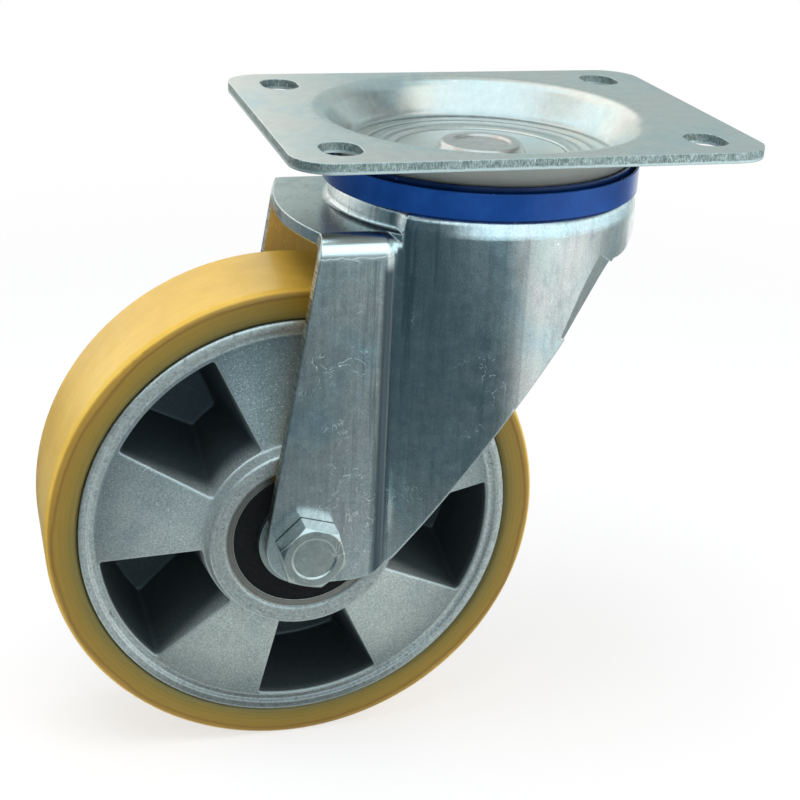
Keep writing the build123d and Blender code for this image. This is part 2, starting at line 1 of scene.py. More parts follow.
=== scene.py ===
"""Swivel castor: the finish of every piece, the light and the camera."""

import math

import bmesh
import bpy
from mathutils import Matrix, Vector


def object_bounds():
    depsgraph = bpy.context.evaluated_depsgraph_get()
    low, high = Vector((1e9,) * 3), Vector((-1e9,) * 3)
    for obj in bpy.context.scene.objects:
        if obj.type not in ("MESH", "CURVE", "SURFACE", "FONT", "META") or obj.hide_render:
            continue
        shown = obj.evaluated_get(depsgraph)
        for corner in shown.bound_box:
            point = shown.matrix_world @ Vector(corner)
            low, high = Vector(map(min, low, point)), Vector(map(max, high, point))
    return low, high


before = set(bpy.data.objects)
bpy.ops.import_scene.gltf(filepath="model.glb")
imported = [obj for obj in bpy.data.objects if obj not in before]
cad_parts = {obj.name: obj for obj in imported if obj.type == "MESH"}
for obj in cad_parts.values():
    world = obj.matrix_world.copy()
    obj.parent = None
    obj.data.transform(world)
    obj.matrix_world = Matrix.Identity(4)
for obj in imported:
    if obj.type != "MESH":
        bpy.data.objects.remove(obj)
cad_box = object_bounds()


# ---------------------------------------------------------------- studio
# A pale table under the wheel and an even white surround, with large soft lamps
# above and beside it. A tent of pale and dark panels, which only reflections
# show, shades the bright metal as the walls of a workshop do.

SENSOR_WIDTH = 36.0
LENS_LENGTH = 71.83
CAMERA_AZIMUTH = math.radians(73.19)
CAMERA_ELEVATION = math.radians(23.06)
CAMERA_ROLL = math.radians(2.80)
CAMERA_DISTANCE = 0.66217
CAMERA_AIM = Vector((0.0, -0.02807, -0.12072))

back = Vector((
    math.sin(CAMERA_AZIMUTH) * math.cos(CAMERA_ELEVATION),
    -math.cos(CAMERA_AZIMUTH) * math.cos(CAMERA_ELEVATION),
    math.sin(CAMERA_ELEVATION),
))
level_right = Vector((math.cos(CAMERA_AZIMUTH), math.sin(CAMERA_AZIMUTH), 0.0))
level_up = back.cross(level_right)
right = math.cos(CAMERA_ROLL) * level_right + math.sin(CAMERA_ROLL) * level_up
up = math.cos(CAMERA_ROLL) * level_up - math.sin(CAMERA_ROLL) * level_right

camera_data = bpy.data.cameras.new("camera")
camera_data.sensor_width = SENSOR_WIDTH
camera_data.lens = LENS_LENGTH
camera = bpy.data.objects.new("camera", camera_data)
bpy.context.scene.collection.objects.link(camera)
camera.matrix_world = Matrix((
    (right.x, up.x, back.x, CAMERA_AIM.x + back.x * CAMERA_DISTANCE),
    (right.y, up.y, back.y, CAMERA_AIM.y + back.y * CAMERA_DISTANCE),
    (right.z, up.z, back.z, CAMERA_AIM.z + back.z * CAMERA_DISTANCE),
    (0.0, 0.0, 0.0, 1.0),
))
bpy.context.scene.camera = camera
bpy.context.scene.view_settings.view_transform = "Standard"


def place(tree, kind, sockets=None, **settings):
    """Adds a node: settings are its own, sockets are set, or wired where given a socket."""
    node = tree.nodes.new(kind)
    for name, value in settings.items():
        setattr(node, name, value)
    for name, value in (sockets or {}).items():
        socket = node.inputs[name]
        if isinstance(value, bpy.types.NodeSocket):
            tree.links.new(value, socket)
        else:
            socket.default_value = value
    return node


def calc(tree, operation, *values, clamp=False):
    """One step of arithmetic on sockets or numbers."""
    sockets = dict(enumerate(values))
    return place(tree, "ShaderNodeMath", sockets, operation=operation, use_clamp=clamp).outputs[0]


def ramp_of(tree, value, stops, interpolation="LINEAR"):
    """A colour ramp from a list of (position, colour)."""
    node = place(tree, "ShaderNodeValToRGB", {"Fac": value})
    node.color_ramp.interpolation = interpolation
    elements = node.color_ramp.elements
    for _ in range(len(stops) - 2):
        elements.new(0.5)
    for element, (position, colour) in zip(elements, stops):
        element.position = position
        element.color = (*colour, 1.0)
    return node.outputs["Color"]


def mix_colours(tree, share, first, second, blend="MIX"):
    """Mixes two colours, or two sockets, by a share."""
    sockets = {"Factor": share, 6: first, 7: second}
    return place(tree, "ShaderNodeMix", sockets, data_type="RGBA", blend_type=blend).outputs[2]


def length_of(tree, vector):
    """The length of a vector."""
    return place(tree, "ShaderNodeVectorMath", {0: vector}, operation="LENGTH").outputs["Value"]


def times(tree, vector, factors):
    """A vector with each of its parts multiplied."""
    return place(tree, "ShaderNodeVectorMath", {0: vector, 1: factors}, operation="MULTIPLY").outputs[0]


def new_material(name):
    """An empty node material and its tree."""
    material = bpy.data.materials.new(name)
    material.use_nodes = True
    material.node_tree.nodes.clear()
    return material, material.node_tree


world = bpy.data.worlds.new("surround")
bpy.context.scene.world = world
world.use_nodes = True
tree = world.node_tree
tree.nodes.clear()
rays = place(tree, "ShaderNodeLightPath").outputs
seen_white = calc(tree, "MAXIMUM", rays["Is Camera Ray"], rays["Is Glossy Ray"])
seen_white = calc(tree, "MAXIMUM", seen_white, rays["Is Transmission Ray"])
room_light = place(tree, "ShaderNodeBackground", {"Color": (0.95, 0.98, 1.0, 1.0), "Strength": 0.55})
white_light = place(tree, "ShaderNodeBackground", {"Color": (1.0, 1.0, 1.0, 1.0), "Strength": 1.0})
both_lights = place(tree, "ShaderNodeMixShader",
                    {0: seen_white, 1: room_light.outputs[0], 2: white_light.outputs[0]})
place(tree, "ShaderNodeOutputWorld", {"Surface": both_lights.outputs[0]})

TABLE_REACH = 4.0
TABLE_SHADED_REACH = 0.35
TABLE_WHITE_REACH = 0.95
TABLE_NEAR_SHARE = 0.70
floor_level = cad_box[0][2]
table_mesh = bpy.data.meshes.new("table")
table_mesh.from_pydata(
    [(x * TABLE_REACH, y * TABLE_REACH, floor_level) for x, y in ((-1, -1), (1, -1), (1, 1), (-1, 1))],
    [], [(0, 1, 2, 3)],
)
table = bpy.data.objects.new("table", table_mesh)
bpy.context.scene.collection.objects.link(table)
table_material, tree = new_material("table white")
table_place = place(tree, "ShaderNodeTexCoord").outputs["Object"]
table_radius = length_of(tree, times(tree, table_place, (1.0, 1.0, 0.0)))
# The table fades into the white surround away from the wheel
table_fade = place(tree, "ShaderNodeMapRange",
                   {"Value": table_radius, "From Min": TABLE_SHADED_REACH,
                    "From Max": TABLE_WHITE_REACH, "To Min": TABLE_NEAR_SHARE, "To Max": 1.0},
                   interpolation_type="SMOOTHSTEP")
table_rays = place(tree, "ShaderNodeLightPath")
table_share = calc(tree, "MULTIPLY", table_fade.outputs[0], table_rays.outputs["Is Camera Ray"])
table_lit = place(tree, "ShaderNodeBsdfDiffuse", {"Color": (0.93, 0.93, 0.93, 1.0)})
table_bright = place(tree, "ShaderNodeEmission", {"Color": (1.0, 1.0, 1.0, 1.0), "Strength": 1.0})
table_mixed = place(tree, "ShaderNodeMixShader",
                    {0: table_share, 1: table_lit.outputs[0], 2: table_bright.outputs[0]})
place(tree, "ShaderNodeOutputMaterial", {"Surface": table_mixed.outputs[0]})
table_mesh.materials.append(table_material)
table.visible_glossy = False

# The tent's few broad panels have six plain tones. They are set by bearing, in
# degrees from the bolt's side towards the plate's front: those low down, those
# about level with the plate, and two rings above, which the dish mirrors
DARK_WALL = (0.05, 0.09, 0.11)
BENCH = (0.30, 0.34, 0.34)
GREY_WALL = (0.50, 0.60, 0.60)
PALE_WALL = (0.90, 0.95, 0.92)
WHITE_CARD = (1.30, 1.35, 1.30)
SKYLIGHT = (1.05, 1.35, 1.45)
LOW_PANELS = (
    (-180, BENCH), (-100, DARK_WALL), (5, DARK_WALL), (35, PALE_WALL), (60, PALE_WALL),
    (90, BENCH), (105, BENCH), (135, WHITE_CARD), (180, BENCH),
)
LEVEL_PANELS = (
    (-180, PALE_WALL), (-150, WHITE_CARD), (-80, DARK_WALL), (-35, DARK_WALL), (-10, SKYLIGHT),
    (60, SKYLIGHT), (145, GREY_WALL), (165, GREY_WALL), (180, PALE_WALL),
)
LIP_PANELS = (
    (-180, WHITE_CARD), (-100, SKYLIGHT), (25, SKYLIGHT), (60, BENCH), (90, BENCH),
    (150, GREY_WALL), (165, GREY_WALL), (180, WHITE_CARD),
)
UPPER_PANELS = (
    (-180, WHITE_CARD), (-140, WHITE_CARD), (-105, PALE_WALL), (-50, SKYLIGHT), (25, SKYLIGHT),
    (50, WHITE_CARD), (80, GREY_WALL), (145, GREY_WALL), (180, WHITE_CARD),
)
# Each ring fades in over a stretch of heights, as sines of the angle above level
TENT_RINGS = (
    (-0.62, -0.44, LOW_PANELS), (-0.20, 0.14, LEVEL_PANELS), (0.30, 0.56, LIP_PANELS),
    (0.64, 0.78, UPPER_PANELS),
)
TENT_TOP_FROM = 0.88
TENT_TOP_FULL = 0.97
TENT_RADIUS = 0.80
tent_mesh = bpy.data.meshes.new("reflection_tent")
tent_form = bmesh.new()
bmesh.ops.create_icosphere(tent_form, subdivisions=4, radius=TENT_RADIUS)
tent_form.to_mesh(tent_mesh)
tent_form.free()
tent = bpy.data.objects.new("reflection_tent", tent_mesh)
tent.location = CAMERA_AIM
bpy.context.scene.collection.objects.link(tent)
tent_material, tree = new_material("tent panels")
tent_place = place(tree, "ShaderNodeTexCoord").outputs["Object"]
tent_way = place(tree, "ShaderNodeVectorMath", {0: tent_place}, operation="NORMALIZE").outputs[0]
tent_way = place(tree, "ShaderNodeSeparateXYZ", {0: tent_way}).outputs
bearing = calc(tree, "ARCTAN2", tent_way["Y"], tent_way["X"])
bearing = calc(tree, "MULTIPLY_ADD", bearing, 0.5 / math.pi, 0.5)


def tent_panels(panels):
    """One ring of panels as a soft ramp round the tent."""
    return ramp_of(tree, bearing, [((at + 180) / 360, colour) for at, colour in panels], "EASE")


def tent_rise(low, high):
    """A soft step between two heights on the tent."""
    sockets = {"Value": tent_way["Z"], "From Min": low, "From Max": high}
    return place(tree, "ShaderNodeMapRange", sockets, interpolation_type="SMOOTHSTEP").outputs[0]


panels = (*GREY_WALL, 1.0)
for low, high, ring in TENT_RINGS:
    panels = mix_colours(tree, tent_rise(low, high), panels, tent_panels(ring))
panels = mix_colours(tree, tent_rise(TENT_TOP_FROM, TENT_TOP_FULL), panels, (*SKYLIGHT, 1.0))
tent_glow = place(tree, "ShaderNodeEmission", {"Color": panels, "Strength": 1.0})
place(tree, "ShaderNodeOutputMaterial", {"Surface": tent_glow.outputs[0]})
tent_mesh.materials.append(tent_material)
tent.visible_camera = False
tent.visible_diffuse = False
tent.visible_transmission = False
tent.visible_shadow = False


def hang_lamp(name, place_at, aim_at, width, height, watts, colour):
    """A rectangular soft box that faces a point; the tent stands for it in reflections."""
    lamp_data = bpy.data.lights.new(name, "AREA")
    lamp_data.shape = "RECTANGLE"
    lamp_data.size = width
    lamp_data.size_y = height
    lamp_data.energy = watts
    lamp_data.color = colour
    lamp = bpy.data.objects.new(name, lamp_data)
    bpy.context.scene.collection.objects.link(lamp)
    lamp.location = place_at
    lamp.rotation_euler = (Vector(aim_at) - Vector(place_at)).to_track_quat("-Z", "Y").to_euler()
    lamp.visible_glossy = False


hang_lamp("soft box over the table", place_at=(0.15, -0.25, 1.0), aim_at=(0.0, -0.05, -0.1),
          width=0.8, height=0.8, watts=11.0, colour=(1.0, 1.0, 1.0))
hang_lamp("soft box at the right", place_at=(0.55, 1.0, 0.30), aim_at=(0.0, 0.0, -0.1),
          width=0.6, height=0.8, watts=6.0, colour=(1.0, 1.0, 0.98))


# ---------------------------------------------------------------- top plate
# The mounting plate: 4 mm steel sheet, blanked and dished in one press, then
# zinc plated. Its flat top is brushed along the plate, its cut rim is torn.

def new_group(name, inputs, outputs):
    """A shader node group with named sockets; each input comes with its kind and first value."""
    group = bpy.data.node_groups.new(name, "ShaderNodeTree")
    for label, (kind, value) in inputs.items():
        group.interface.new_socket(label, in_out="INPUT", socket_type=kind).default_value = value
    for label, kind in outputs.items():
        group.interface.new_socket(label, in_out="OUTPUT", socket_type=kind)
    return group, place(group, "NodeGroupInput").outputs, place(group, "NodeGroupOutput").inputs


def use_group(tree, group, sockets):
    """Places a group in a material and gives its outputs."""
    return place(tree, "ShaderNodeGroup", sockets, node_tree=group).outputs


def place_of(tree):
    """Places on the piece, in metres."""
    return place(tree, "ShaderNodeTexCoord").outputs["Object"]


def scaled_place(tree, scales):
    """Places on the piece, stretched by a scale along each axis."""
    return times(tree, place_of(tree), scales)


def parts_of(tree, vector):
    """The three parts of a vector, or of a colour."""
    return place(tree, "ShaderNodeSeparateXYZ", {0: vector}).outputs


def way_of(tree):
    """The parts of the way that the surface faces."""
    return parts_of(tree, place(tree, "ShaderNodeTexCoord").outputs["Normal"])


def noise_at(tree, where, scale, detail=2.0, roughness=0.5, distortion=0.0):
    """Plain noise, from 0 to 1."""
    sockets = {"Vector": where, "Scale": scale, "Detail": detail, "Roughness": roughness,
               "Distortion": distortion}
    return place(tree, "ShaderNodeTexNoise", sockets).outputs[0]


def between(tree, value, low, high, to_low=0.0, to_high=1.0):
    """Maps a stretch of values smoothly to another, and holds it beyond."""
    sockets = {"Value": value, "From Min": low, "From Max": high, "To Min": to_low, "To Max": to_high}
    return place(tree, "ShaderNodeMapRange", sockets, interpolation_type="SMOOTHSTEP").outputs[0]


def swing(tree, noise):
    """A noise about nought, from -0.5 to 0.5."""
    return calc(tree, "SUBTRACT", noise, 0.5)


def distance_from(tree, value, level):
    """How far a value is from a level, on either side."""
    return calc(tree, "ABSOLUTE", calc(tree, "SUBTRACT", value, level))


def shaded(tree, colour, shade):
    """A colour made paler or darker by a factor."""
    return place(tree, "ShaderNodeVectorMath", {0: colour, "Scale": shade}, operation="SCALE").outputs[0]


# Zinc plating: a pale grey with faint pink and blue passivation tints, fine lines
# in the direction of drawing, a grain like orange peel, and stray scratches
zinc_skin, given, put = new_group(
    "zinc_skin",
    {"Colour": ("NodeSocketColor", (0.74, 0.78, 0.77, 1.0)), "Lines": ("NodeSocketVector", (1.0, 1.0, 1.0)),
     "Tint": ("NodeSocketFloat", 0.5), "Line depth": ("NodeSocketFloat", 0.5),
     "Grain": ("NodeSocketFloat", 0.5), "Scratches": ("NodeSocketFloat", 0.5),
     "Roughness": ("NodeSocketFloat", 0.3)},
    {"Colour": "NodeSocketColor", "Roughness": "NodeSocketFloat", "Height": "NodeSocketFloat"},
)
skin_place = place_of(zinc_skin)
tint_noise = noise_at(zinc_skin, skin_place, 22.0, 3.0, 0.6, 0.6)
tint_colour = ramp_of(zinc_skin, tint_noise, (
    (0.30, (0.80, 0.93, 1.02)), (0.46, (1.0, 1.0, 1.0)), (0.58, (1.05, 0.98, 0.99)),
    (0.72, (0.92, 1.0, 0.98)),
))
tinted = mix_colours(zinc_skin, given["Tint"], given["Colour"],
                     mix_colours(zinc_skin, 1.0, given["Colour"], tint_colour, "MULTIPLY"))
line_place = times(zinc_skin, skin_place, given["Lines"])
line_swing = swing(zinc_skin, noise_at(zinc_skin, line_place, 1.0, 4.0, 0.65))
lines = calc(zinc_skin, "MULTIPLY", line_swing, given["Line depth"])
mottle = swing(zinc_skin, noise_at(zinc_skin, skin_place, 190.0, 5.0, 0.7))
grain_swing = swing(zinc_skin, noise_at(zinc_skin, skin_place, 1500.0, 2.0, 0.6))
grain = calc(zinc_skin, "MULTIPLY", grain_swing, given["Grain"])
# Scuffs: thin wandering lines, in patches
scribble = noise_at(zinc_skin, skin_place, 75.0, 3.0, 0.62, 1.4)
scribble = between(zinc_skin, distance_from(zinc_skin, scribble, 0.5), 0.009, 0.002)
scuff_patches = between(zinc_skin, noise_at(zinc_skin, skin_place, 34.0, 3.0, 0.6), 0.55, 0.64)
scuff_breaks = between(zinc_skin, noise_at(zinc_skin, skin_place, 480.0, 2.0), 0.40, 0.58)
scuff_share = calc(zinc_skin, "MULTIPLY", scuff_patches, scuff_breaks)
scratch = calc(zinc_skin, "MULTIPLY", calc(zinc_skin, "MULTIPLY", scribble, scuff_share), given["Scratches"])
shade = calc(zinc_skin, "MULTIPLY_ADD", lines, 0.9, 1.0)
shade = calc(zinc_skin, "MULTIPLY_ADD", mottle, 0.35, shade)
shade = calc(zinc_skin, "MULTIPLY_ADD", grain, 0.5, shade)
shade = calc(zinc_skin, "MULTIPLY_ADD", scratch, 0.9, shade)
zinc_skin.links.new(shaded(zinc_skin, tinted, shade), put["Colour"])
skin_rough = calc(zinc_skin, "MULTIPLY_ADD", mottle, 0.14, given["Roughness"])
skin_rough = calc(zinc_skin, "MULTIPLY_ADD", lines, 0.18, skin_rough)
skin_rough = calc(zinc_skin, "MULTIPLY_ADD", scratch, -0.12, skin_rough)
zinc_skin.links.new(calc(zinc_skin, "MAXIMUM", skin_rough, 0.08), put["Roughness"])
skin_height = calc(zinc_skin, "MULTIPLY_ADD", grain, 0.8, lines)
skin_height = calc(zinc_skin, "MULTIPLY_ADD", scratch, -0.9, skin_height)
zinc_skin.links.new(skin_height, put["Height"])

# Edges that the press, the tumbler and handling have softened: the normal turns
# round the edge, and the mask marks edges painted bright, partly rubbed plating, partly painted highlight
soft_edge, given, put = new_group(
    "soft_edge", {"Radius": ("NodeSocketFloat", 0.0005)},
    {"Normal": "NodeSocketVector", "Edge": "NodeSocketFloat"},
)
bevel = place(soft_edge, "ShaderNodeBevel", {"Radius": given["Radius"]}, samples=6)
flat_normal = place(soft_edge, "ShaderNodeNewGeometry").outputs["Normal"]
agreement = place(soft_edge, "ShaderNodeVectorMath", {0: bevel.outputs[0], 1: flat_normal},
                  operation="DOT_PRODUCT").outputs["Value"]
soft_edge.links.new(bevel.outputs[0], put["Normal"])
soft_edge.links.new(between(soft_edge, agreement, 0.96, 0.80), put["Edge"])


def finish_metal(tree, colour, roughness, height, depth, normal, metallic=1.0):
    """The metal shader at the end of a material, with its bump; depth is in metres."""
    bump = place(tree, "ShaderNodeBump",
                 {"Strength": 1.0, "Distance": depth, "Height": height, "Normal": normal})
    shader = place(tree, "ShaderNodeBsdfPrincipled",
                   {"Base Color": colour, "Metallic": metallic, "Roughness": roughness,
                    "Normal": bump.outputs[0]})
    place(tree, "ShaderNodeOutputMaterial", {"Surface": shader.outputs[0]})


def dress(node, material):
    """Gives a CAD node its one material."""
    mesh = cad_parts[node].data
    mesh.materials.clear()
    mesh.materials.append(material)


def brighten_edge(tree, edge, share, colour, edge_colour):
    """Paints the piece's edges bright, by a share: partly rubbed plating, partly painted highlight."""
    return mix_colours(tree, calc(tree, "MULTIPLY", edge["Edge"], share), colour, edge_colour)


DISH_RIM_RADIUS = 0.072
DISH_RIM_FADE = 0.008
BURR_TOP = -0.0027
BURR_BOTTOM = -0.0033
BURR_WANDER = 0.0012
# Each ring of the dish: its radius and its width
DISH_RINGS = ((0.0388, 0.0013), (0.0345, 0.0006), (0.0530, 0.0014), (0.0455, 0.0009))
plate_material, tree = new_material("plate zinc")
plate_place = place_of(tree)
plate_at = parts_of(tree, plate_place)
plate_way = way_of(tree)
plate_radius = length_of(tree, scaled_place(tree, (1.0, 1.0, 0.0)))
in_dish = between(tree, plate_radius, DISH_RIM_RADIUS, DISH_RIM_RADIUS - DISH_RIM_FADE)
plate_skin = use_group(tree, zinc_skin, {
    "Colour": (0.67, 0.69, 0.66, 1.0), "Lines": (900.0, 60.0, 900.0), "Tint": 0.9, "Line depth": 0.10,
    "Grain": 0.30, "Scratches": 0.3, "Roughness": calc(tree, "MULTIPLY_ADD", in_dish, -0.08, 0.31),
})
plate_edge = use_group(tree, soft_edge, {"Radius": 0.0006})
upright = between(tree, calc(tree, "ABSOLUTE", plate_way["Z"]), 0.25, 0.12)
# The blanked rim: fine upright shear marks and a bright burr along the bottom
shear_lines = noise_at(tree, scaled_place(tree, (1.0, 1.0, 0.30)), 2600.0, 4.0, 0.75)
shear_patches = noise_at(tree, plate_place, 320.0, 3.0, 0.6)
shear_mark = calc(tree, "MULTIPLY_ADD", shear_patches, 0.24, calc(tree, "MULTIPLY", shear_lines, 0.76))
shear_colour = ramp_of(tree, shear_mark, (
    (0.36, (0.15, 0.17, 0.16)), (0.50, (0.38, 0.42, 0.40)), (0.62, (0.74, 0.79, 0.76)),
))
burr_level = calc(tree, "MULTIPLY_ADD", swing(tree, shear_patches), BURR_WANDER, plate_at["Z"])
burr = between(tree, burr_level, BURR_TOP, BURR_BOTTOM)
shear_colour = mix_colours(tree, calc(tree, "MULTIPLY", burr, 0.8), shear_colour, (0.84, 0.89, 0.88, 1.0))
plate_colour = mix_colours(tree, upright, plate_skin["Colour"], shear_colour)
plate_colour = brighten_edge(tree, plate_edge, 0.55, plate_colour, (0.92, 0.96, 0.95, 1.0))
plate_rough = calc(tree, "MULTIPLY_ADD", upright, 0.22, plate_skin["Roughness"])
# The press leaves fine rings where the tool's steps touched the dish
ring_height = None
for ring_at, ring_width in DISH_RINGS:
    gap = calc(tree, "DIVIDE", calc(tree, "SUBTRACT", plate_radius, ring_at), ring_width)
    swell = calc(tree, "EXPONENT", calc(tree, "MULTIPLY", calc(tree, "MULTIPLY", gap, gap), -1.0))
    ring_height = swell if ring_height is None else calc(tree, "ADD", ring_height, swell)
ring_height = calc(tree, "MULTIPLY", ring_height, in_dish)
plate_height = calc(tree, "MULTIPLY", shear_mark, upright)
plate_height = calc(tree, "MULTIPLY_ADD", plate_height, 3.0, plate_skin["Height"])
plate_height = calc(tree, "MULTIPLY_ADD", ring_height, -16.0, plate_height)
# The rings are painted darker and teal as well, a painted shade
dish_ring_painted_shade = calc(tree, "MULTIPLY", ring_height, 0.34)
plate_colour = mix_colours(tree, dish_ring_painted_shade, plate_colour, (0.22, 0.30, 0.33, 1.0))
# Underneath, the sheet is painted darker, a painted shade, and made rougher and less metallic
beneath = between(tree, plate_way["Z"], -0.05, -0.25)
underside_painted_shade = calc(tree, "MULTIPLY", beneath, 0.75)
plate_colour = mix_colours(tree, underside_painted_shade, plate_colour, (0.25, 0.27, 0.24, 1.0))
finish_metal(tree, plate_colour, calc(tree, "MULTIPLY_ADD", beneath, 0.25, plate_rough), plate_height,
             0.00003, plate_edge["Normal"], calc(tree, "MULTIPLY_ADD", beneath, -0.55, 1.0))
dress("top_plate", plate_material)


# ---------------------------------------------------------------- kingpin
# The riveted pin in the plate's dish: turned steel with a shallow centre
# recess, its head spread cold over the plate, zinc plated with a pinkish cast.

KINGPIN_TURNING_PITCH = 0.0004
pin_material, tree = new_material("kingpin zinc")
pin_skin = use_group(tree, zinc_skin, {
    "Colour": (0.60, 0.57, 0.54, 1.0), "Lines": (300.0, 300.0, 300.0), "Tint": 0.6, "Line depth": 0.3,
    "Grain": 0.4, "Scratches": 0.6, "Roughness": 0.20,
})
pin_edge = use_group(tree, soft_edge, {"Radius": 0.0007})
pin_radius = length_of(tree, scaled_place(tree, (1.0, 1.0, 0.0)))
pin_rings = calc(tree, "SINE", calc(tree, "MULTIPLY", pin_radius, 2 * math.pi / KINGPIN_TURNING_PITCH))
pin_height = calc(tree, "MULTIPLY_ADD", pin_rings, 0.12, pin_skin["Height"])
pin_colour = brighten_edge(tree, pin_edge, 0.7, pin_skin["Colour"], (0.95, 0.97, 0.96, 1.0))
finish_metal(tree, pin_colour, pin_skin["Roughness"], pin_height, 0.00002, pin_edge["Normal"])
dress("kingpin", pin_material)


# ---------------------------------------------------------------- hidden turned parts
# The distance sleeve and lower race in the head, and the tube, spacer and
# distance washers on the axle: free-cutting steel, turned and left bare.

turned_rings, given, put = new_group(
    "turned_rings",
    {"Colour": ("NodeSocketColor", (0.55, 0.55, 0.55, 1.0)), "Pitch": ("NodeSocketFloat", 0.0003),
     "Centre": ("NodeSocketVector", (0.0, 0.0, 0.0)), "Across": ("NodeSocketVector", (1.0, 1.0, 0.0)),
     "Roughness": ("NodeSocketFloat", 0.3)},
    {"Colour": "NodeSocketColor", "Roughness": "NodeSocketFloat", "Height": "NodeSocketFloat"},
)
from_centre = place(turned_rings, "ShaderNodeVectorMath",
                    {0: place_of(turned_rings), 1: given["Centre"]}, operation="SUBTRACT").outputs[0]
ring_radius = length_of(turned_rings, times(turned_rings, from_centre, given["Across"]))
ring_steps = calc(turned_rings, "DIVIDE", ring_radius, given["Pitch"])
ring_noise = place(turned_rings, "ShaderNodeTexNoise",
                   {"W": ring_steps, "Scale": 1.0, "Detail": 3.0}, noise_dimensions="1D").outputs[0]
ring_swing = swing(turned_rings, ring_noise)
ring_spots = swing(turned_rings, noise_at(turned_rings, from_centre, 420.0, 4.0, 0.6))
ring_shade = calc(turned_rings, "MULTIPLY_ADD", ring_swing, 0.5, 1.0)
ring_shade = calc(turned_rings, "MULTIPLY_ADD", ring_spots, 0.4, ring_shade)
ring_rough = calc(turned_rings, "MULTIPLY_ADD", ring_swing, 0.2, given["Roughness"])
turned_rings.links.new(shaded(turned_rings, given["Colour"], ring_shade), put["Colour"])
turned_rings.links.new(ring_rough, put["Roughness"])
turned_rings.links.new(ring_swing, put["Height"])

AXLE_CENTRE = (0.0, -0.076, -0.161)
ABOUT_PIN = (1.0, 1.0, 0.0)
ABOUT_AXLE = (0.0, 1.0, 1.0)


def place_from_axle(tree):
    """Places on the piece, from the middle of the axle."""
    return place(tree, "ShaderNodeVectorMath", {0: place_of(tree), 1: AXLE_CENTRE},
                 operation="SUBTRACT").outputs[0]


def turned_steel(name, colour, centre, across, roughness, pitch):
    """Turned or ground steel, with rings about an axis."""
    material, tree = new_material(name)
    rings = use_group(tree, turned_rings, {"Colour": (*colour, 1.0), "Pitch": pitch, "Centre": centre,
                                           "Across": across, "Roughness": roughness})
    edge = use_group(tree, soft_edge, {"Radius": 0.0004})
    colour = brighten_edge(tree, edge, 0.5, rings["Colour"], (0.9, 0.9, 0.9, 1.0))
    finish_metal(tree, colour, rings["Roughness"], rings["Height"], 0.000015, edge["Normal"])
    return material


head_turned = turned_steel("turned steel, head", (0.52, 0.52, 0.51), (0.0, 0.0, 0.0), ABOUT_PIN,
                           roughness=0.34, pitch=0.0003)
axle_turned = turned_steel("turned steel, axle", (0.56, 0.58, 0.58), AXLE_CENTRE, ABOUT_AXLE,
                           roughness=0.32, pitch=0.0003)
for node in ("distance_sleeve", "lower_race"):
    dress(node, head_turned)
for node in ("axle_tube", "bearing_spacer", "distance_washer_right", "distance_washer_left"):
    dress(node, axle_turned)


# ---------------------------------------------------------------- swivel balls
# The two ball rows of the head, in grease: ground and polished bearing steel,
# with an amber film of grease in patches.

ball_material, tree = new_material("ball steel")
grease = between(tree, noise_at(tree, place_of(tree), 260.0, 3.0), 0.45, 0.62)
ball_colour = mix_colours(tree, grease, (0.72, 0.74, 0.76, 1.0), (0.50, 0.40, 0.22, 1.0))
ball_rough = calc(tree, "MULTIPLY_ADD", grease, 0.22, 0.08)
flat = place(tree, "ShaderNodeNewGeometry").outputs["Normal"]
finish_metal(tree, ball_colour, ball_rough, grease, 0.00005, flat)
for node in ("upper_race_balls", "lower_race_balls", "bearing_balls_right", "bearing_balls_left"):
    dress(node, ball_material)


# ---------------------------------------------------------------- dust seal
# The ring between plate and fork: injection-moulded blue plastic, semi-gloss,
# with a little dust on it. It is snapped over the fork's head.

def specks(tree, where, scale, edge, core, rarest, rare):
    """Scattered specks, in those cells whose random value is high."""
    cells = place(tree, "ShaderNodeTexVoronoi", {"Vector": where, "Scale": scale}).outputs
    chosen = between(tree, parts_of(tree, cells["Color"])[0], rarest, rare)
    return calc(tree, "MULTIPLY", between(tree, cells["Distance"], edge, core), chosen)


# Inside these radii the seal is painted darker, for its own shade
SEAL_SHADE_FROM = 0.0614
SEAL_SHADE_FULL = 0.0608
seal_material, tree = new_material("seal blue")
seal_place = place_of(tree)
seal_cloud = noise_at(tree, seal_place, 38.0, 4.0, 0.6)
seal_colour = ramp_of(tree, seal_cloud, (
    (0.32, (0.003, 0.046, 0.235)), (0.55, (0.005, 0.066, 0.315)), (0.75, (0.010, 0.100, 0.410)),
))
seal_radius = length_of(tree, scaled_place(tree, (1.0, 1.0, 0.0)))
seal_inside = between(tree, seal_radius, SEAL_SHADE_FROM, SEAL_SHADE_FULL)
seal_shade = calc(tree, "MULTIPLY", seal_inside, 0.72)
seal_colour = mix_colours(tree, seal_shade, seal_colour, (0.002, 0.010, 0.045, 1.0))
dust = specks(tree, seal_place, 330.0, 0.10, 0.06, 0.93, 0.95)
seal_colour = mix_colours(tree, dust, seal_colour, (0.75, 0.78, 0.82, 1.0))
seal_rough = calc(tree, "MULTIPLY_ADD", seal_cloud, 0.14, 0.12)
seal_rough = calc(tree, "MULTIPLY_ADD", dust, 0.4, seal_rough)
seal_edge = use_group(tree, soft_edge, {"Radius": 0.0004})
seal_height = calc(tree, "MULTIPLY_ADD", dust, 0.6, noise_at(tree, seal_place, 90.0, 2.0))
seal_bump = place(tree, "ShaderNodeBump",
                  {"Strength": 1.0, "Distance": 0.0001, "Normal": seal_edge["Normal"],
                   "Height": seal_height})
seal_shader = place(tree, "ShaderNodeBsdfPrincipled",
                    {"Base Color": seal_colour, "Roughness": seal_rough, "Specular IOR Level": 0.28,
                     "Normal": seal_bump.outputs[0]})
place(tree, "ShaderNodeOutputMaterial", {"Surface": seal_shader.outputs[0]})
dress("dust_seal", seal_material)
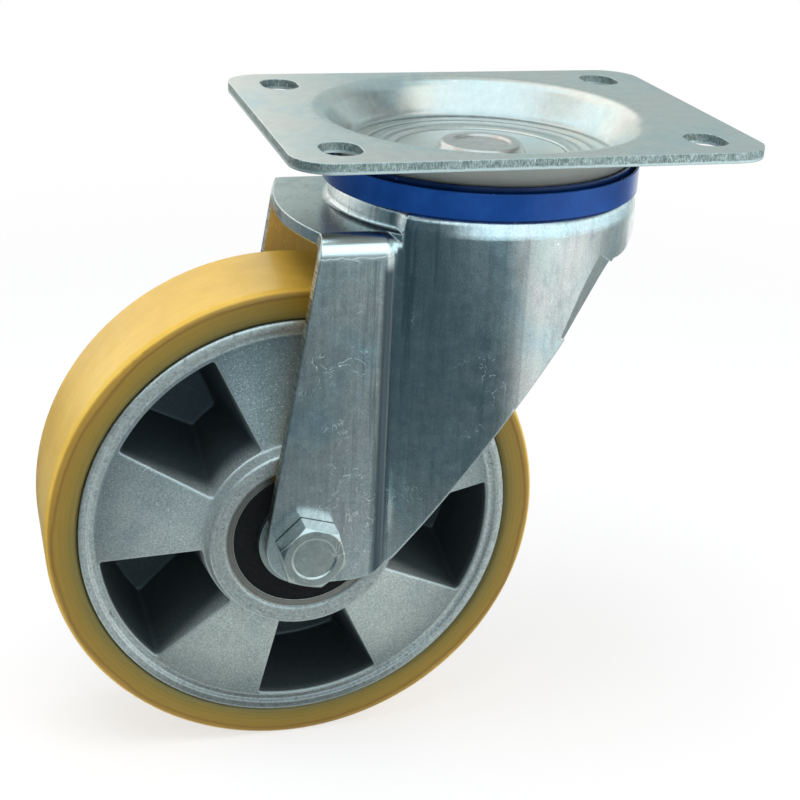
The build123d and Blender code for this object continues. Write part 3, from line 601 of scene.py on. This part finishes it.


# ---------------------------------------------------------------- fork
# The fork: one 5 mm steel sheet, deep drawn and bent, zinc plated. The skirt
# keeps the drawing marks, the fold a painted highlight band, the cut edges a torn face.

VALLEY_AT = -0.0455
GROOVE_AT = -0.0478
TEAR_LEVEL = -0.0432
TEAR_WIDTH = 0.00022
TEAR_WANDER = 0.0042
# Where each mark begins and where it is full, in metres: first those set by height
GROOVE_BELOW = (-0.0440, -0.0500)
CUT_FACES_BELOW = (-0.0345, -0.0365)
FOLD_HIGHLIGHT_ABOVE = (-0.0450, -0.0425)
AMBER_BELOW = (-0.0385, -0.0405)
# then those set by the distance behind the kingpin
SHELF_BEHIND = (-0.0340, -0.0440)
CHEEK_BEHIND = (-0.0475, -0.0490)
AMBER_BEHIND = (-0.0480, -0.0500)
# and those set by the distance from the middle of the axle
FOLD_HIGHLIGHT_OUTSIDE = (0.0405, 0.0430)
TEAR_OUTSIDE = (0.0440, 0.0448)
AMBER_INSIDE = (0.0415, 0.0405)
fork_material, tree = new_material("fork zinc")
fork_skin = use_group(tree, zinc_skin, {
    "Colour": (0.70, 0.75, 0.75, 1.0), "Lines": (420.0, 420.0, 14.0), "Tint": 1.0, "Line depth": 0.34,
    "Grain": 1.1, "Scratches": 1.0, "Roughness": 0.22,
})
fork_edge = use_group(tree, soft_edge, {"Radius": 0.0009})
fork_at = parts_of(tree, place_of(tree))
fork_way = way_of(tree)
fork_out = calc(tree, "ABSOLUTE", fork_at["X"])
fork_sideways = calc(tree, "ABSOLUTE", fork_way["X"])
# Drawing marks: long upright streaks on the skirt, darkest beside the valley, where a painted shade deepens
# them
streaks = noise_at(tree, scaled_place(tree, (1.0, 1.0, 0.035)), 330.0, 4.0, 0.7)
streak_dark = between(tree, streaks, 0.52, 0.66)
near_valley = between(tree, distance_from(tree, fork_at["Y"], VALLEY_AT), 0.022, 0.004)
streak_share = calc(tree, "MULTIPLY", streak_dark, calc(tree, "MULTIPLY_ADD", near_valley, 0.45, 0.15))
fork_colour = mix_colours(tree, streak_share, fork_skin["Colour"], (0.20, 0.29, 0.33, 1.0))
# Rubbed patches: bluish and dull where the sheet slid over the tool
rubbed = between(tree, noise_at(tree, scaled_place(tree, (1.0, 1.0, 0.45)), 46.0, 6.0, 0.75), 0.50, 0.68)
fork_colour = mix_colours(tree, calc(tree, "MULTIPLY", rubbed, 0.50), fork_colour, (0.22, 0.29, 0.35, 1.0))
# The bend beside each cheek is painted dark, a painted shade over the bright reflection there
groove = between(tree, distance_from(tree, fork_at["Y"], GROOVE_AT), 0.0036, 0.0007)
groove = calc(tree, "MULTIPLY", groove, between(tree, fork_at["Z"], *GROOVE_BELOW))
groove_streaks = calc(tree, "MULTIPLY_ADD", streaks, 0.12, 0.93)
groove_share = calc(tree, "MULTIPLY", groove, groove_streaks, clamp=True)
fork_colour = mix_colours(tree, groove_share, fork_colour, (0.075, 0.105, 0.128, 1.0))
# Cut edges, which face along the fork and not outwards
cut_face = between(tree, fork_sideways, 0.10, 0.03)
cut_face = calc(tree, "MULTIPLY", cut_face, between(tree, fork_at["Z"], *CUT_FACES_BELOW))
cut_noise = noise_at(tree, scaled_place(tree, (0.15, 1.0, 1.0)), 900.0, 3.0, 0.7)
cut_colour = ramp_of(tree, cut_noise, (
    (0.36, (0.20, 0.18, 0.13)), (0.52, (0.42, 0.40, 0.33)), (0.66, (0.70, 0.70, 0.64)),
))
fork_colour = mix_colours(tree, cut_face, fork_colour, cut_colour)
# The shelf behind the head is painted darker, a painted shade, and the fold beside it carries a painted
# highlight
shelf_face = calc(tree, "MULTIPLY", between(tree, fork_way["Z"], 0.60, 0.92),
                  between(tree, fork_at["Y"], *SHELF_BEHIND))
shelf_painted_shade = calc(tree, "MULTIPLY", shelf_face, 0.75)
fork_colour = mix_colours(tree, shelf_painted_shade, fork_colour, (0.40, 0.46, 0.44, 1.0))
on_cheek = between(tree, fork_at["Y"], *CHEEK_BEHIND)
fold_painted_highlight = calc(tree, "MULTIPLY", between(tree, fork_at["Z"], *FOLD_HIGHLIGHT_ABOVE), on_cheek)
fold_painted_highlight = calc(tree, "MULTIPLY", fold_painted_highlight, between(tree, fork_out, *FOLD_HIGHLIGHT_OUTSIDE))
fork_colour = mix_colours(tree, fold_painted_highlight, fork_colour, (0.96, 1.0, 1.0, 1.0))
# The torn line under the fold, left by the bending tool
tear_wave = noise_at(tree, scaled_place(tree, (0.0, 1.0, 0.0)), 230.0, 3.0, 0.8)
tear_level = calc(tree, "MULTIPLY_ADD", swing(tree, tear_wave), TEAR_WANDER, TEAR_LEVEL)
tear_gap = distance_from(tree, fork_at["Z"], tear_level)
tear = between(tree, tear_gap, TEAR_WIDTH * 1.6, TEAR_WIDTH * 0.5)
tear = calc(tree, "MULTIPLY", tear, between(tree, fork_out, *TEAR_OUTSIDE))
tear = calc(tree, "MULTIPLY", tear, on_cheek)
fork_colour = mix_colours(tree, tear, fork_colour, (0.98, 1.0, 1.0, 1.0))
fork_colour = brighten_edge(tree, fork_edge, 0.55, fork_colour, (0.92, 0.97, 0.98, 1.0))
fork_rough = calc(tree, "MULTIPLY_ADD", cut_face, 0.15, fork_skin["Roughness"])
fork_rough = calc(tree, "MULTIPLY_ADD", rubbed, 0.08, fork_rough)
fork_height = calc(tree, "MULTIPLY_ADD", tear, 8.0, fork_skin["Height"])
fork_height = calc(tree, "MULTIPLY_ADD", calc(tree, "MULTIPLY", cut_face, cut_noise), 2.5, fork_height)
# The cheeks' inner faces are painted amber, in place of the tyre mirrored in them
amber = calc(tree, "MULTIPLY", between(tree, fork_sideways, 0.5, 0.9),
            between(tree, fork_out, *AMBER_INSIDE))
amber_reach = calc(tree, "MULTIPLY", between(tree, fork_at["Y"], *AMBER_BEHIND),
                  between(tree, fork_at["Z"], *AMBER_BELOW))
amber = calc(tree, "MULTIPLY", amber, amber_reach)
amber = calc(tree, "MULTIPLY", amber, calc(tree, "MULTIPLY_ADD", streaks, 0.4, 0.72), clamp=True)
fork_colour = mix_colours(tree, amber, fork_colour, (1.0, 0.63, 0.14, 1.0))
finish_metal(tree, fork_colour, fork_rough, fork_height, 0.000022, fork_edge["Normal"],
             calc(tree, "MULTIPLY_ADD", amber, -0.85, 1.0))
dress("fork", fork_material)


# ---------------------------------------------------------------- axle bolt, washer and nut
# An M16 hexagon bolt, a plain washer and a locking nut: cold forged, zinc
# plated bright, with corners painted bright, partly worn and partly painted
# highlight. The thread is a fine helix.

def bright_zinc(tree, edge_radius):
    """The plating of a forged fastener, its soft edges, and its colour with corners painted bright, partly
    wear and partly painted highlight.
    """
    skin = use_group(tree, zinc_skin, {
        "Colour": (0.63, 0.67, 0.64, 1.0), "Lines": (260.0, 260.0, 260.0), "Tint": 0.8,
        "Line depth": 0.25, "Grain": 0.35, "Scratches": 0.8, "Roughness": 0.25,
    })
    edge = use_group(tree, soft_edge, {"Radius": edge_radius})
    return skin, edge, brighten_edge(tree, edge, 0.6, skin["Colour"], (0.95, 0.98, 0.98, 1.0))


THREAD_PITCH = 0.002
THREAD_FROM = -0.0480
THREAD_FULL = -0.0490
HEAD_SEAT = 0.045
SEAT_LINE_FADE = 0.0007
SEAT_LINE = 0.0004
fastener_material, tree = new_material("fastener zinc")
fastener_skin, fastener_edge, fastener_colour = bright_zinc(tree, 0.0008)
finish_metal(tree, fastener_colour, fastener_skin["Roughness"], fastener_skin["Height"], 0.00002,
             fastener_edge["Normal"])
for node in ("axle_washer", "axle_nut"):
    dress(node, fastener_material)

bolt_material, tree = new_material("bolt zinc")
bolt_skin, bolt_edge, bolt_colour = bright_zinc(tree, 0.0009)
bolt_at = parts_of(tree, place_from_axle(tree))
turn = calc(tree, "ARCTAN2", bolt_at["Z"], bolt_at["Y"])
thread_phase = calc(tree, "MULTIPLY_ADD", bolt_at["X"], 2 * math.pi / THREAD_PITCH, turn)
threaded = between(tree, bolt_at["X"], THREAD_FROM, THREAD_FULL)
thread = calc(tree, "MULTIPLY", calc(tree, "SINE", thread_phase), threaded)
bolt_height = calc(tree, "MULTIPLY_ADD", thread, 27.0, bolt_skin["Height"])
# A thin dark line is painted round the head where it bears on the cheek
bearing_line = between(tree, bolt_at["X"], HEAD_SEAT + SEAT_LINE_FADE, HEAD_SEAT + SEAT_LINE)
bolt_colour = mix_colours(tree, calc(tree, "SUBTRACT", bearing_line, threaded, clamp=True), bolt_colour,
                          (0.015, 0.022, 0.026, 1.0))
finish_metal(tree, bolt_colour, bolt_skin["Roughness"], bolt_height, 0.00002, bolt_edge["Normal"])
dress("axle_bolt", bolt_material)


# ---------------------------------------------------------------- rim
# The rim: aluminium, pressure die cast, sandy on the spokes, with painted shade
# in the pockets, its lip rings and boss faces turned bright.

WEB_OUTER_RADIUS = 0.0808
LIP_TURNED_FROM = 0.0810
LIP_TURNED_FULL = 0.0816
BOSS_RADIUS = 0.0379
BOSS_FACE = 0.0370
BOSS_BLEND = 0.0004
POCKET_LIGHT_DEPTH = 0.0300
POCKET_DARK_DEPTH = 0.0190
PAINTED_LIGHT_WAY = (0.0, -0.10, -0.99)
rim_material, tree = new_material("cast aluminium")
rim_place = place_from_axle(tree)
rim_radius = length_of(tree, times(tree, rim_place, ABOUT_AXLE))
rim_out = calc(tree, "ABSOLUTE", parts_of(tree, rim_place)["X"])
sand = noise_at(tree, rim_place, 1400.0, 3.0, 0.7)
clouds = noise_at(tree, rim_place, 55.0, 4.0, 0.6)
cast_colour = ramp_of(tree, clouds, (
    (0.30, (0.40, 0.44, 0.45)), (0.50, (0.49, 0.52, 0.52)), (0.72, (0.56, 0.58, 0.56)),
))
# The casting carries painted light and shade: cool and dark at the wheel's top, at rest, and warm and pale
# below
low_side = place(tree, "ShaderNodeVectorMath", {0: rim_place, 1: PAINTED_LIGHT_WAY},
                  operation="DOT_PRODUCT").outputs["Value"]
rim_painted_light_and_shade = ramp_of(tree, between(tree, low_side, -0.080, 0.080), (
    (0.0, (0.66, 0.74, 0.77)), (0.5, (1.14, 1.14, 1.12)), (1.0, (1.16, 1.15, 1.10)),
))
cast_colour = mix_colours(tree, 1.0, cast_colour, rim_painted_light_and_shade, "MULTIPLY")
cast_colour = shaded(tree, cast_colour, calc(tree, "MULTIPLY_ADD", swing(tree, sand), 1.7, 1.0))
# Painted glints: scattered specks painted near white, and made smoother
glint = specks(tree, rim_place, 2300.0, 0.5, 0.3, 0.905, 0.915)
glint_share = calc(tree, "MULTIPLY", glint, 0.9)
cast_colour = mix_colours(tree, glint_share, cast_colour, (1.0, 1.0, 1.0, 1.0))
# Turned stretches: the lip rings and the boss faces
rim_rings = use_group(tree, turned_rings, {
    "Colour": (0.52, 0.55, 0.54, 1.0), "Pitch": 0.0005, "Centre": AXLE_CENTRE, "Across": ABOUT_AXLE,
    "Roughness": 0.36,
})
on_lip = between(tree, rim_radius, LIP_TURNED_FROM, LIP_TURNED_FULL)
on_boss = calc(tree, "MULTIPLY", between(tree, rim_out, BOSS_FACE - BOSS_BLEND, BOSS_FACE),
               between(tree, rim_radius, BOSS_RADIUS + BOSS_BLEND, BOSS_RADIUS))
turned = calc(tree, "MAXIMUM", on_lip, on_boss)
pits = between(tree, noise_at(tree, rim_place, 480.0, 3.0, 0.6), 0.40, 0.32)
pit_share = calc(tree, "MULTIPLY", pits, 0.7)
ring_colour = mix_colours(tree, pit_share, rim_rings["Colour"], (0.22, 0.24, 0.25, 1.0))
ring_grain = between(tree, noise_at(tree, rim_place, 900.0, 3.0, 0.75), 0.34, 0.66, 0.84, 1.26)
ring_grain = calc(tree, "MULTIPLY", ring_grain, calc(tree, "MULTIPLY_ADD", on_boss, -0.10, 1.0))
# The turned lip is painted darker towards the wheel's foot, a painted shade
ring_grain = calc(tree, "MULTIPLY", ring_grain, between(tree, low_side, 0.050, 0.084, 1.0, 0.40))
rim_colour = mix_colours(tree, turned, cast_colour, shaded(tree, ring_colour, ring_grain))
# The pockets are painted dark, a painted shade in the recesses
in_pocket = calc(tree, "MULTIPLY", between(tree, rim_out, POCKET_LIGHT_DEPTH, POCKET_DARK_DEPTH),
                 between(tree, rim_radius, WEB_OUTER_RADIUS + 0.0008, WEB_OUTER_RADIUS - 0.0004))
pocket_painted_shade = calc(tree, "MULTIPLY", in_pocket, 0.88)
rim_colour = mix_colours(tree, pocket_painted_shade, rim_colour, (0.048, 0.072, 0.084, 1.0))
rim_edge = use_group(tree, soft_edge, {"Radius": 0.0021})
# The rim's edges are painted bright, a painted highlight, weaker inside the pockets
rim_edge_painted_highlight = calc(tree, "MULTIPLY_ADD", in_pocket, -0.7, 0.78)
rim_edge_painted_highlight = calc(tree, "MULTIPLY", rim_edge["Edge"], rim_edge_painted_highlight)
rim_colour = mix_colours(tree, rim_edge_painted_highlight, rim_colour, (0.90, 0.95, 0.96, 1.0))
rim_rough = calc(tree, "MULTIPLY_ADD", turned, -0.16, 0.56)
rim_rough = calc(tree, "MULTIPLY_ADD", rim_edge["Edge"], -0.22, rim_rough)
rim_rough = calc(tree, "MULTIPLY_ADD", glint, -0.25, rim_rough)
rim_height = calc(tree, "MULTIPLY_ADD", turned, -0.8, 1.0)
rim_height = calc(tree, "MULTIPLY", rim_height, sand)
turned_height = calc(tree, "MULTIPLY", rim_rings["Height"], turned)
rim_height = calc(tree, "MULTIPLY_ADD", turned_height, 0.5, rim_height)
rim_height = calc(tree, "MULTIPLY_ADD", calc(tree, "MULTIPLY", pits, turned), -1.2, rim_height)
finish_metal(tree, rim_colour, rim_rough, rim_height, 0.00010, rim_edge["Normal"], 0.80)
dress("rim", rim_material)


# ---------------------------------------------------------------- tyre
# The tyre: polyurethane cast on to the rim, amber, semi-gloss and a little
# cloudy. Its sides were trimmed on a lathe and darken to olive at the rim.

TYRE_INNER_RADIUS = 0.0872
TYRE_OUTER_RADIUS = 0.1000
SIDE_RINGS_PER_METRE = 2900.0
# Where the tread's colour gives way to the side's, outwards and inwards
SIDE_FROM = 0.0241
SIDE_FULL = 0.0247
CORNER_FROM = 0.0974
CORNER_FULL = 0.0964
tyre_material, tree = new_material("amber polyurethane")
tyre_place = place_from_axle(tree)
tyre_out = calc(tree, "ABSOLUTE", parts_of(tree, tyre_place)["X"])
tyre_radius = length_of(tree, times(tree, tyre_place, ABOUT_AXLE))
tyre_cloud = noise_at(tree, tyre_place, 16.0, 4.0, 0.6)
side_ring = place(tree, "ShaderNodeTexNoise",
                  {"W": calc(tree, "MULTIPLY", tyre_radius, SIDE_RINGS_PER_METRE),
                   "Vector": tyre_place, "Scale": 1.0, "Detail": 3.0},
                  noise_dimensions="4D").outputs[0]
wander_radius = calc(tree, "MULTIPLY_ADD", swing(tree, tyre_cloud), 0.006, tyre_radius)
side_share = between(tree, wander_radius, TYRE_INNER_RADIUS, TYRE_OUTER_RADIUS)
side_colour = ramp_of(tree, side_share, (
    (0.0, (0.150, 0.130, 0.036)), (0.14, (0.215, 0.160, 0.030)), (0.40, (0.262, 0.180, 0.027)),
    (0.74, (0.300, 0.190, 0.027)), (0.84, (0.225, 0.128, 0.020)), (0.90, (0.330, 0.200, 0.030)),
    (1.0, (0.430, 0.262, 0.040)),
))
side_colour = shaded(tree, side_colour, calc(tree, "ADD", swing(tree, side_ring), 1.0))
tread_colour = ramp_of(tree, tyre_cloud, (
    (0.30, (0.61, 0.37, 0.045)), (0.50, (0.73, 0.46, 0.065)), (0.70, (0.82, 0.56, 0.105)),
))
# The tread is worn in fine lines round it
tread_lines = noise_at(tree, scaled_place(tree, (1.0, 0.02, 0.02)), 1500.0, 3.0, 0.7)
tread_shade = calc(tree, "MULTIPLY_ADD", swing(tree, tread_lines), 0.30, 1.0)
tread_colour = shaded(tree, tread_colour, tread_shade)
on_side = between(tree, tyre_out, SIDE_FROM, SIDE_FULL)
on_side = calc(tree, "MAXIMUM", on_side, between(tree, tyre_radius, CORNER_FROM, CORNER_FULL))
tyre_colour = mix_colours(tree, on_side, tread_colour, side_colour)
tyre_marks = noise_at(tree, scaled_place(tree, (0.2, 1.0, 1.0)), 160.0, 4.0, 0.7)
tyre_rough = calc(tree, "MULTIPLY_ADD", tyre_marks, 0.26, 0.20)
tyre_height = calc(tree, "MULTIPLY_ADD", calc(tree, "MULTIPLY", side_ring, on_side), 0.8,
                   noise_at(tree, tyre_place, 240.0, 3.0))
tyre_bump = place(tree, "ShaderNodeBump", {"Strength": 1.0, "Distance": 0.00012, "Height": tyre_height})
tyre_shader = place(tree, "ShaderNodeBsdfPrincipled",
                    {"Base Color": tyre_colour, "Roughness": tyre_rough, "Subsurface Weight": 0.06,
                     "Subsurface Radius": (0.6, 0.35, 0.08), "Subsurface Scale": 0.004,
                     "Specular IOR Level": 0.4, "Normal": tyre_bump.outputs[0]})
place(tree, "ShaderNodeOutputMaterial", {"Surface": tyre_shader.outputs[0]})
dress("tyre", tyre_material)


# ---------------------------------------------------------------- ball bearings
# Two deep-groove bearings in the hub: ground steel rings, pressed rubber seals
# on both faces, and moulded cages that hold the balls.

ring_steel = turned_steel("bearing ring steel", (0.40, 0.35, 0.32), AXLE_CENTRE, ABOUT_AXLE,
                          roughness=0.24, pitch=0.00035)
for side in ("right", "left"):
    dress(f"bearing_inner_ring_{side}", ring_steel)
    dress(f"bearing_outer_ring_{side}", ring_steel)

rubber_material, tree = new_material("seal rubber")
rubber_place = place_of(tree)
rubber_grain = noise_at(tree, rubber_place, 700.0, 4.0, 0.7)
rubber_colour = ramp_of(tree, rubber_grain, (
    (0.35, (0.003, 0.003, 0.0035)), (0.75, (0.010, 0.010, 0.011)),
))
lint = specks(tree, rubber_place, 620.0, 0.28, 0.18, 0.972, 0.98)
rubber_colour = mix_colours(tree, lint, rubber_colour, (0.62, 0.62, 0.58, 1.0))
rubber_rough = calc(tree, "MULTIPLY_ADD", rubber_grain, 0.2, 0.42)
rubber_bump = place(tree, "ShaderNodeBump",
                    {"Strength": 1.0, "Distance": 0.00015, "Height": rubber_grain})
rubber_shader = place(tree, "ShaderNodeBsdfPrincipled",
                      {"Base Color": rubber_colour, "Roughness": rubber_rough,
                       "Specular IOR Level": 0.18, "Normal": rubber_bump.outputs[0]})
place(tree, "ShaderNodeOutputMaterial", {"Surface": rubber_shader.outputs[0]})

cage_material, tree = new_material("cage nylon")
cage_cloud = noise_at(tree, place_of(tree), 120.0, 4.0)
cage_colour = ramp_of(tree, cage_cloud, ((0.3, (0.62, 0.57, 0.44)), (0.7, (0.74, 0.70, 0.60))))
cage_bump = place(tree, "ShaderNodeBump", {"Strength": 1.0, "Distance": 0.00008, "Height": cage_cloud})
cage_shader = place(tree, "ShaderNodeBsdfPrincipled",
                    {"Base Color": cage_colour, "Roughness": 0.45, "Normal": cage_bump.outputs[0]})
place(tree, "ShaderNodeOutputMaterial", {"Surface": cage_shader.outputs[0]})
for side in ("right", "left"):
    dress(f"bearing_seal_{side}", rubber_material)
    dress(f"bearing_cage_{side}", cage_material)
